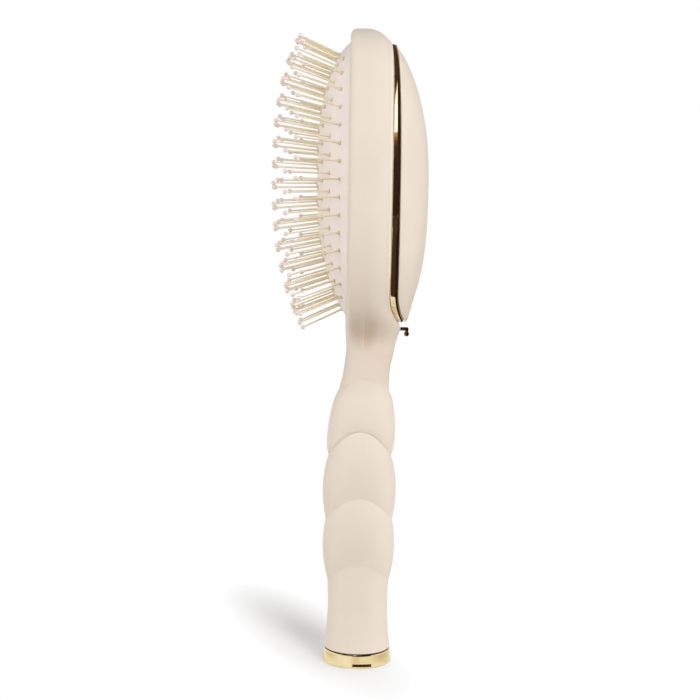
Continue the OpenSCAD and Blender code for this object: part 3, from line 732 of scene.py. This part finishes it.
# ---- rubber cushion ----
def make_cushion(steps=120):
    y, z = outline(around(steps), OPENING_L / 2 - CUSHION_GAP, OPENING_W / 2 - CUSHION_GAP)
    shares = np.concatenate([np.linspace(0.02, 0.9, 40), [0.925, 0.945, 0.96, 0.972, 0.982, 0.99, 0.996, 1]])
    rings = [np.stack([cushion_x(s * y, s * z), s * y, HEAD_Z + s * z], axis=1) for s in shares]
    rings += [outline_ring(x, OPENING_L / 2 - CUSHION_FOOT_GAP, OPENING_W / 2 - CUSHION_FOOT_GAP, steps)
              for x in CUSHION_FOOT_X]
    cushion = new_object("cushion_dome", *ring_stack(rings))
    tidy_normals(cushion, 60)
    dress(cushion, "brush_body", "cushion_rubber", rubber_material, "cushion")
    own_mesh(cushion)


make_cushion()


# ---- pins: shaft with a root collar and a ball tip ----
def pin_places(k):
    """Y and Z of the pins of row k, from the head's centre; row 0 is the middle one."""
    count = LONG_ROW if k % 2 == 0 else SHORT_ROW
    u = (np.arange(count) - (count - 1) / 2) / ((LONG_ROW - 1) / 2)
    side = k / ROWS
    wider = ROW_WIDER * side ** 2 * (1 - np.abs(u) ** 6)
    z = ROW_SHIFT[abs(k)] + (FIELD_L / 2 - ROW_SHORTER * side ** 2) * u * (1 + wider)
    y = side * FIELD_W / 2 * (1 - np.abs(z / (FIELD_L / 2 * FIELD_MARGIN)) ** POWER) ** (1 / POWER)
    return y, z


def make_row(k, steps=14):
    y, z = pin_places(k)
    roots = np.stack([cushion_x(y, z), y, HEAD_Z + z], axis=1)
    ways = np.stack([-np.ones_like(y), np.tan(np.arcsin(y / FAN_W)), np.tan(np.arcsin(z / FAN_L))], axis=1)
    ways /= np.linalg.norm(ways, axis=1)[:, None]
    ball = BALL_D / 2
    # Distance from the rubber and radius of a pin's rings: root, collar, shaft and ball
    stations = [
        (-ROOT_DEPTH, SHAFT_ROOT_R), (-0.05, SHAFT_ROOT_R), (-0.02, COLLAR_R * 0.9), (0.06, COLLAR_R),
        (COLLAR_T - 0.08, COLLAR_R), (COLLAR_T, COLLAR_R * 0.9),
        (COLLAR_T + 0.02, SHAFT_ROOT_R * 1.25), (COLLAR_T + 0.3, SHAFT_ROOT_R),
        (PIN_L * 0.5, lerp(SHAFT_ROOT_R, SHAFT_TIP_R, 0.55)), (PIN_L - BALL_D * 1.02, SHAFT_TIP_R)]
    first_ball = len(stations)
    for tilt in (150, 125, 100, 75, 50, 25, 8):
        a = math.radians(tilt)
        stations.append((PIN_L - ball + ball * math.cos(a), ball * math.sin(a)))
    points, faces, ball_faces = [], [], []
    for root, way in zip(roots, ways):
        across = np.cross(way, (0, 1, 0.001))
        across /= np.linalg.norm(across)
        other = np.cross(way, across)
        start = len(points) * steps
        turn = around(steps)[:, None]
        circle = np.cos(turn) * across + np.sin(turn) * other
        for along, radius in stations:
            points.append(root + way * along + circle * radius)
        for i in range(len(stations) - 1):
            for j in range(steps):
                a = start + i * steps + j
                b = start + i * steps + (j + 1) % steps
                faces.append((a, b, b + steps, a + steps))
                ball_faces.append(i >= first_ball - 1)
        top = start + (len(stations) - 1) * steps
        faces += [tuple(range(start, start + steps)), tuple(range(top, top + steps))]
        ball_faces += [False, True]
    number = k + ROWS + 1
    row = new_object(f"pins_{number}", np.concatenate(points), faces)
    tidy_normals(row, 50)
    dress(row, "pin_field", "pin_nylon", shaft_material, f"pin_row_{number}")
    row.data.materials.append(ball_material)
    row.data.polygons.foreach_set("material_index", np.array(ball_faces, np.int32))


for k in range(-ROWS, ROWS + 1):
    make_row(k)


# ---- foot ring ----
def make_ring(steps=160):
    t = around(steps)
    rings = [np.stack([r * np.cos(t), r * np.sin(t), np.full(steps, float(z))], axis=1)
             for r, z in RING_PROFILE]
    ring = new_object("foot_ring_skin", *ring_loop(rings))
    tidy_normals(ring, 40)
    dress(ring, "brush_body", "gold_metal", ring_material, "foot_ring")


make_ring()


# ---- wire hook with a mitred corner and a ball end ----
def make_hook(steps=24):
    t = around(steps)
    rings = []

    def ring(x, z, way, radius, stretch=1.0):
        """A ring across the wire; way 0 runs along X, way 1 down, and 0.5 is the mitre."""
        a = way * math.pi / 2
        across = np.array((math.sin(a), 0, math.cos(a)))
        rings.append(np.array((x, 0, z)) + radius * (
            stretch * np.cos(t)[:, None] * across + np.sin(t)[:, None] * np.array((0, 1, 0))))

    for x in (HOOK_ROOT_X, 12.0, 14.5, HOOK_X - WIRE_R - HOOK_REST):
        ring(x, HOOK_Z, 0, WIRE_R)
    for share in (0.25, 0.5, 0.75):
        a = share * math.pi / 2
        ring(HOOK_X - HOOK_BEND + HOOK_BEND * math.sin(a), HOOK_Z - HOOK_BEND + HOOK_BEND * math.cos(a),
             share, WIRE_R, 1 + 0.3 * math.sin(2 * a))
    ring(HOOK_X, HOOK_Z - WIRE_R - HOOK_REST, 1, WIRE_R * 0.94)
    ball_z = HOOK_Z - HOOK_DROP
    ring(HOOK_X, ball_z + HOOK_BALL_R * 0.8, 1, WIRE_R * 0.9)
    for tilt in np.linspace(40, 176, 12):
        a = math.radians(tilt)
        ring(HOOK_X - 0.06, ball_z + HOOK_BALL_R * math.cos(a), 1, HOOK_BALL_R * math.sin(a))
    hook = new_object("hook_wire", *ring_stack(rings))
    tidy_normals(hook, 50)
    dress(hook, "brush_body", "gold_wire", darkened_hook_material, "hook")


make_hook()


# ---- inner pieces keep their own solids ----
for node, material in (("cushion_frame", inner_material), ("pad_plate", inner_material),
                       ("end_plug", inner_material), ("shell_screws", steel_material),
                       ("shell_dowels", steel_material), ("foot_pad", felt_material)):
    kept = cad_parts[node]
    kept.data.materials.clear()
    kept.data.materials.append(material)


# ---- floor, world and lamps ----
# Glow of the floor in the picture, and its colour for the light that it sends up
FLOOR_GLOW = 0.04
FLOOR_BOUNCE = (0.57, 0.5, 0.43)
FLOOR_REACH = 3.0
# The shadow lies behind the foot to the left: its middle, half length and width, turn in degrees
SHADOW_PLACE, SHADOW_SIZE, SHADOW_TURN = (-0.019, 0.033, 0), (0.09, 0.024, 1), 112
# Level of the world at the horizon, share of it overhead, and shares from the left and the right
WORLD_LEVEL, WORLD_TOP, WORLD_SIDES = 1.17, 0.12, (0.98, 1.1)
# Lamps: place, size, power and colour; all aim at the grip
LAMP_AIM = (0, 0, 0.1)
LAMPS = (("key", (1.0, -1.95, 1.1), 0.6, 16.5, (1, 0.99, 0.985)),
         ("fill_left", (-2.2, -0.7, 0.3), 1.6, 22.5, (1, 1, 1)),
         ("fill_right", (2.1, -0.55, 0.3), 1.6, 13, (1, 1, 1)))


def seen_rays(tree):
    """1 for the camera's rays and those of reflections and glass, else 0."""
    path = tree.nodes.new("ShaderNodeLightPath")
    seen = math_node(tree, "MAXIMUM", path.outputs["Is Camera Ray"], path.outputs["Is Glossy Ray"])
    return math_node(tree, "MAXIMUM", seen, path.outputs["Is Transmission Ray"])


def square(name, corners, material):
    """A staged four-cornered sheet."""
    mesh = bpy.data.meshes.new(name)
    mesh.from_pydata(corners, [], [(0, 1, 2, 3)])
    mesh.materials.append(material)
    made = bpy.data.objects.new(name, mesh)
    bpy.context.scene.collection.objects.link(made)
    return made


def level_corners(x0, x1, y0, y1, z):
    """Corners of a level sheet."""
    return [(x0, y0, z), (x1, y0, z), (x1, y1, z), (x0, y1, z)]


def make_floor():
    material = bpy.data.materials.new("floor")
    material.use_nodes = True
    tree = material.node_tree
    tree.nodes.clear()
    output = tree.nodes.new("ShaderNodeOutputMaterial")
    # What the camera and reflections see: a bright floor that keeps the shadow
    bright = tree.nodes.new("ShaderNodeBsdfDiffuse")
    bright.inputs["Color"].default_value = (0.97, 0.97, 0.97, 1)
    glow = tree.nodes.new("ShaderNodeEmission")
    glow.inputs["Strength"].default_value = FLOOR_GLOW
    both = tree.nodes.new("ShaderNodeAddShader")
    tree.links.new(bright.outputs[0], both.inputs[0])
    tree.links.new(glow.outputs[0], both.inputs[1])
    white = tree.nodes.new("ShaderNodeEmission")
    # What lights the object from below: a pale floor without a glow
    pale = tree.nodes.new("ShaderNodeBsdfDiffuse")
    pale.inputs["Color"].default_value = (*FLOOR_BOUNCE, 1)
    # Round the shadow the floor runs out into white
    place = tree.nodes.new("ShaderNodeTexCoord").outputs["Object"]
    far = from_centre(tree, place, 0.1, 1, "TEXTURE", Location=SHADOW_PLACE, Scale=SHADOW_SIZE,
                      Rotation=(0, 0, math.radians(SHADOW_TURN)))
    shown = tree.nodes.new("ShaderNodeMixShader")
    tree.links.new(far, shown.inputs[0])
    tree.links.new(both.outputs[0], shown.inputs[1])
    tree.links.new(white.outputs[0], shown.inputs[2])
    whole = tree.nodes.new("ShaderNodeMixShader")
    tree.links.new(seen_rays(tree), whole.inputs[0])
    tree.links.new(pale.outputs[0], whole.inputs[1])
    tree.links.new(shown.outputs[0], whole.inputs[2])
    tree.links.new(whole.outputs[0], output.inputs["Surface"])
    square("floor", level_corners(-FLOOR_REACH, FLOOR_REACH, -FLOOR_REACH, FLOOR_REACH, 0), material)


def make_world():
    world = bpy.data.worlds.new("world")
    bpy.context.scene.world = world
    world.use_nodes = True
    tree = world.node_tree
    tree.nodes.clear()
    output = tree.nodes.new("ShaderNodeOutputWorld")
    soft = tree.nodes.new("ShaderNodeBackground")
    soft.inputs["Color"].default_value = (1, 0.988, 0.97, 1)
    axes = split_axes(tree, tree.nodes.new("ShaderNodeTexCoord").outputs["Generated"])
    height = spread(tree, axes["Z"], 0, 1, WORLD_LEVEL, WORLD_TOP * WORLD_LEVEL)
    side = spread(tree, axes["X"], -1, 1, *WORLD_SIDES)
    tree.links.new(math_node(tree, "MULTIPLY", height, side), soft.inputs["Strength"])
    white = tree.nodes.new("ShaderNodeBackground")
    white.inputs["Color"].default_value = (1, 1, 1, 1)
    mix = tree.nodes.new("ShaderNodeMixShader")
    tree.links.new(seen_rays(tree), mix.inputs[0])
    tree.links.new(soft.outputs[0], mix.inputs[1])
    tree.links.new(white.outputs[0], mix.inputs[2])
    tree.links.new(mix.outputs[0], output.inputs["Surface"])


def lamp(name, place, size, power, colour):
    data = bpy.data.lights.new(name, "AREA")
    data.shape = "DISK"
    data.size = size
    data.energy = power
    data.color = colour
    made = bpy.data.objects.new(name, data)
    made.location = place
    made.rotation_mode = "QUATERNION"
    made.rotation_quaternion = (Vector(LAMP_AIM) - Vector(place)).to_track_quat("-Z", "Y")
    made.visible_glossy = False
    bpy.context.scene.collection.objects.link(made)


make_floor()
make_world()
for light in LAMPS:
    lamp(*light)


# ---- cards: the studio that the mirror gold shows ----
DARK, DEEP, BROWN = (0.014, 0.007, 0.006), (0.05, 0.02, 0.017), (0.075, 0.034, 0.024)
AMBER, TAN, SAND = (0.16, 0.07, 0.045), (0.4, 0.22, 0.14), (0.7, 0.52, 0.42)
WHITE_FLOOR, COLD_WHITE = (0.97, 0.97, 0.97), (0.74, 0.84, 1)


def card(name, corners, colour, glow=0.0, soft=False):
    """A card that only shows in reflections, as a studio's black flag or light strip does."""
    material, tree, shader = new_material(name)
    shader.inputs["Roughness"].default_value = 1
    if glow:
        shader.inputs["Base Color"].default_value = (0, 0, 0, 1)
        shader.inputs["Specular IOR Level"].default_value = 0
        shader.inputs["Emission Color"].default_value = (*colour, 1)
        shader.inputs["Emission Strength"].default_value = glow
    else:
        shader.inputs["Base Color"].default_value = (*colour, 1)
    if soft:
        # The colour runs out into the floor's white towards the card's edge
        place = tree.nodes.new("ShaderNodeTexCoord").outputs["Generated"]
        share = from_centre(tree, place, 0.25, 1, "POINT", Location=(-1, -1, 0), Scale=(2, 2, 0))
        tree.links.new(mix_colour(tree, share, colour, WHITE_FLOOR), shader.inputs["Emission Color"])
    made = square(name, corners, material)
    made.visible_camera = False
    made.visible_diffuse = False
    made.visible_shadow = False
    made.visible_transmission = False


def front_corners(x0, x1, z0, z1, y):
    """Corners of an upright sheet that faces along Y."""
    return [(x0, y, z0), (x1, y, z0), (x1, y, z1), (x0, y, z1)]


def side_corners(y0, y1, z0, z1, x):
    """Corners of an upright sheet that faces along X."""
    return [(x, y0, z0), (x, y1, z0), (x, y1, z1), (x, y0, z1)]


# Walls and ceiling of the studio, in metres, and the low edges of its back and side walls.
# The front wall is behind the camera, and no card shows except in a reflection.
LEFT, RIGHT, NEAR, BACK, TOP = -1.3, 1.3, -1.1, 1.2, 2.4
BACK_LOW, SIDE_LOW = 0.3, 0.6
# Bright slot in the front wall: its left edge slants up to the right, and its low end gets
# lighter in steps of colour
SLOT_LEFT, SLOT_RIGHT, SLOT_LOW, SLOT_TOP, SLANT_TOP = -0.6, -0.07, 0.33, 0.5, 1.9
BROWN_TOP, AMBER_TOP, TAN_TOP, SAND_TOP = 0.42, 0.47, 0.505, 0.55
# Tan edge of the slot, just before the front wall, and the bright strip, just behind it
EDGE_Y, EDGE_LOW_X, EDGE_TOP_X = NEAR + 0.01, (-0.64, -0.44), (-0.1, -0.16)
STRIP_Y = NEAR - 0.02
# Left edge of the low wall, and the dark table in front of the brush with its far edge
LOW_LEFT = -0.29
TABLE_LEFT, TABLE_RIGHT, TABLE_EDGE, TABLE_Z = -0.22, 0.6, -0.066, 0.002
# Small cards beside the head, which the foot doesn't reflect, and the level one below the band's tip
HEAD_X, HEAD_INNER_X, HEAD_Y, HEAD_LOW, HEAD_MIDDLE, HEAD_TOP = 0.16, 0.045, 0.25, 0.11, 0.22, 0.3
TIP_LEFT, TIP_RIGHT, TIP_BACK, TIP_Z = 0.019, 0.2, 0.2, 0.1
PATCH_Z = 0.001

for name, x0, x1, z0, z1, colour in (
        ("flag_low", LOW_LEFT, RIGHT, 0.0, SLOT_LOW, DEEP),
        ("flag_right", SLOT_RIGHT, RIGHT, SLOT_LOW, TOP, DEEP),
        ("flag_brown", SLOT_LEFT, SLOT_RIGHT, SLOT_LOW, BROWN_TOP, BROWN),
        ("flag_amber", SLOT_LEFT, SLOT_RIGHT, BROWN_TOP, AMBER_TOP, AMBER),
        ("flag_tan", SLOT_LEFT, SLOT_RIGHT, AMBER_TOP, TAN_TOP, TAN),
        ("flag_sand", SLOT_LEFT, SLOT_RIGHT, TAN_TOP, SAND_TOP, SAND),
        ("flag_high", LEFT, SLOT_RIGHT, SLANT_TOP, TOP, BROWN)):
    card(name, front_corners(x0, x1, z0, z1, NEAR), colour)
card("flag_edge", [*((x, EDGE_Y, SLOT_LOW) for x in EDGE_LOW_X),
                   *((x, EDGE_Y, SLANT_TOP) for x in EDGE_TOP_X)], TAN)
card("flag_left", [(LEFT, NEAR, SLOT_LOW), (SLOT_LEFT, NEAR, SLOT_LOW),
                   (SLOT_RIGHT, NEAR, SLANT_TOP), (LEFT, NEAR, SLANT_TOP)], BROWN)
card("flag_back", front_corners(LEFT, RIGHT, BACK_LOW, TOP, BACK), BROWN)
card("flag_top", level_corners(LEFT, RIGHT, NEAR, BACK, TOP), BROWN)
card("flag_tip", level_corners(TIP_LEFT, TIP_RIGHT, -HEAD_Y, TIP_BACK, TIP_Z), DARK)
card("flag_table", level_corners(TABLE_LEFT, TABLE_RIGHT, NEAR, TABLE_EDGE, TABLE_Z), BROWN)
for side, wall_x, head_x in (("left", LEFT, -HEAD_X), ("right", RIGHT, HEAD_X)):
    card(f"flag_side_{side}", side_corners(NEAR, BACK, SIDE_LOW, TOP, wall_x), DARK)
    card(f"flag_head_{side}", side_corners(-HEAD_Y, HEAD_Y, HEAD_LOW, HEAD_TOP, head_x), DARK)
card("flag_head_front", front_corners(-HEAD_X, -HEAD_INNER_X, HEAD_LOW, HEAD_MIDDLE, -HEAD_Y), DARK)
# Soft tinted patches of floor, for the ring: middle, half sizes and colour
for name, x, y, half_x, half_y, colour in (
        ("patch_centre", -0.002, -0.034, 0.009, 0.02, (0.86, 0.76, 0.66)),
        ("patch_right", 0.028, -0.006, 0.014, 0.022, (0.78, 0.66, 0.54)),
        ("patch_left", -0.027, 0.0, 0.011, 0.016, (0.8, 0.68, 0.56))):
    card(name, level_corners(x - half_x, x + half_x, y - half_y, y + half_y, PATCH_Z), colour, 1, True)
card("strip", front_corners(SLOT_LEFT, 0, SLOT_TOP, TOP, STRIP_Y), COLD_WHITE, 2)

scene = bpy.context.scene
scene.view_settings.view_transform = "Standard"
